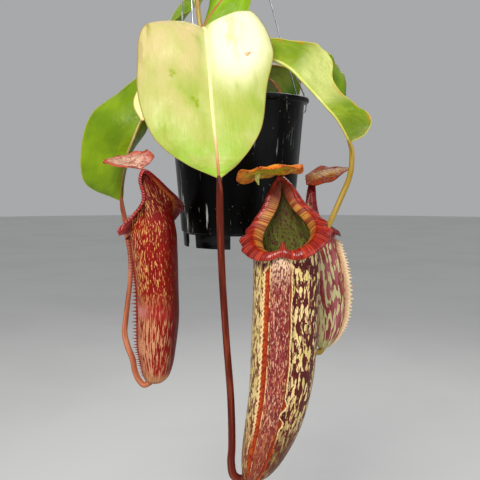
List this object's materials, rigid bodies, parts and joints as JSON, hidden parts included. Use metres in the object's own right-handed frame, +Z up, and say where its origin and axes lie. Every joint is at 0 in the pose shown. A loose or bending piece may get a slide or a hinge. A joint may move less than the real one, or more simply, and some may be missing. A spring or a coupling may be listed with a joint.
{
  "type": "hanging pitcher plant",
  "caption": "Tropical pitcher plant in a hanging nursery pot, with broad arching leaves, long tendrils and blotched pitchers with ribbed red lips and lids.",
  "frame": {"origin": "bearing point under the top of the hook's arc, where the plant hangs", "axes": "+Z up, -Y towards the viewer of the picture, +X to the viewer's right"},
  "size_m": [0.252, 0.2316, 0.7253],
  "materials": {
    "pot": "glossy black moulded plastic",
    "mix": "damp bark and moss",
    "stem": "matt tan skin",
    "young_leaf": "smooth leaf skin",
    "leaf_front": "waxy leaf skin",
    "leaf_right": "waxy leaf skin",
    "leaf_left": "waxy leaf skin",
    "leaf_upper_right": "waxy leaf skin",
    "leaf_upper_left": "waxy leaf skin",
    "leaf_back": "waxy leaf skin",
    "leaf_low_left": "waxy leaf skin",
    "tendril_front": "smooth tendril skin",
    "tendril_left": "smooth tendril skin",
    "tendril_right": "smooth tendril skin",
    "tendril_upper_right": "smooth tendril skin",
    "tendril_upper_left": "smooth tendril skin",
    "tendril_back": "smooth tendril skin",
    "pitcher_front": "blotched pitcher skin",
    "pitcher_left": "blotched pitcher skin",
    "pitcher_right": "blotched pitcher skin",
    "lip": "glossy ribbed lip",
    "lid": "speckled lid skin",
    "wire": "galvanised wire"
  },
  "bodies": {
    "root": {"pot": "pot", "potting_mix": "mix", "stem": "stem", "young_leaf": "young_leaf", "leaf_front": "leaf_front", "leaf_right": "leaf_right", "leaf_left": "leaf_left", "leaf_upper_right": "leaf_upper_right", "leaf_upper_left": "leaf_upper_left", "leaf_back": "leaf_back", "leaf_low_left": "leaf_low_left", "tendril_front": "tendril_front", "tendril_left": "tendril_left", "tendril_right": "tendril_right", "tendril_upper_right": "tendril_upper_right", "tendril_upper_left": "tendril_upper_left", "tendril_back": "tendril_back", "pitcher_front": "pitcher_front", "lip_front": "lip", "lid_front": "lid", "pitcher_left": "pitcher_left", "lip_left": "lip", "lid_left": "lid", "pitcher_right": "pitcher_right", "lip_right": "lip", "lid_right": "lid", "hanger_hook": "wire", "hanger_wire_right": "wire", "hanger_wire_front": "wire", "hanger_wire_back": "wire"}
  },
  "joints": []
}
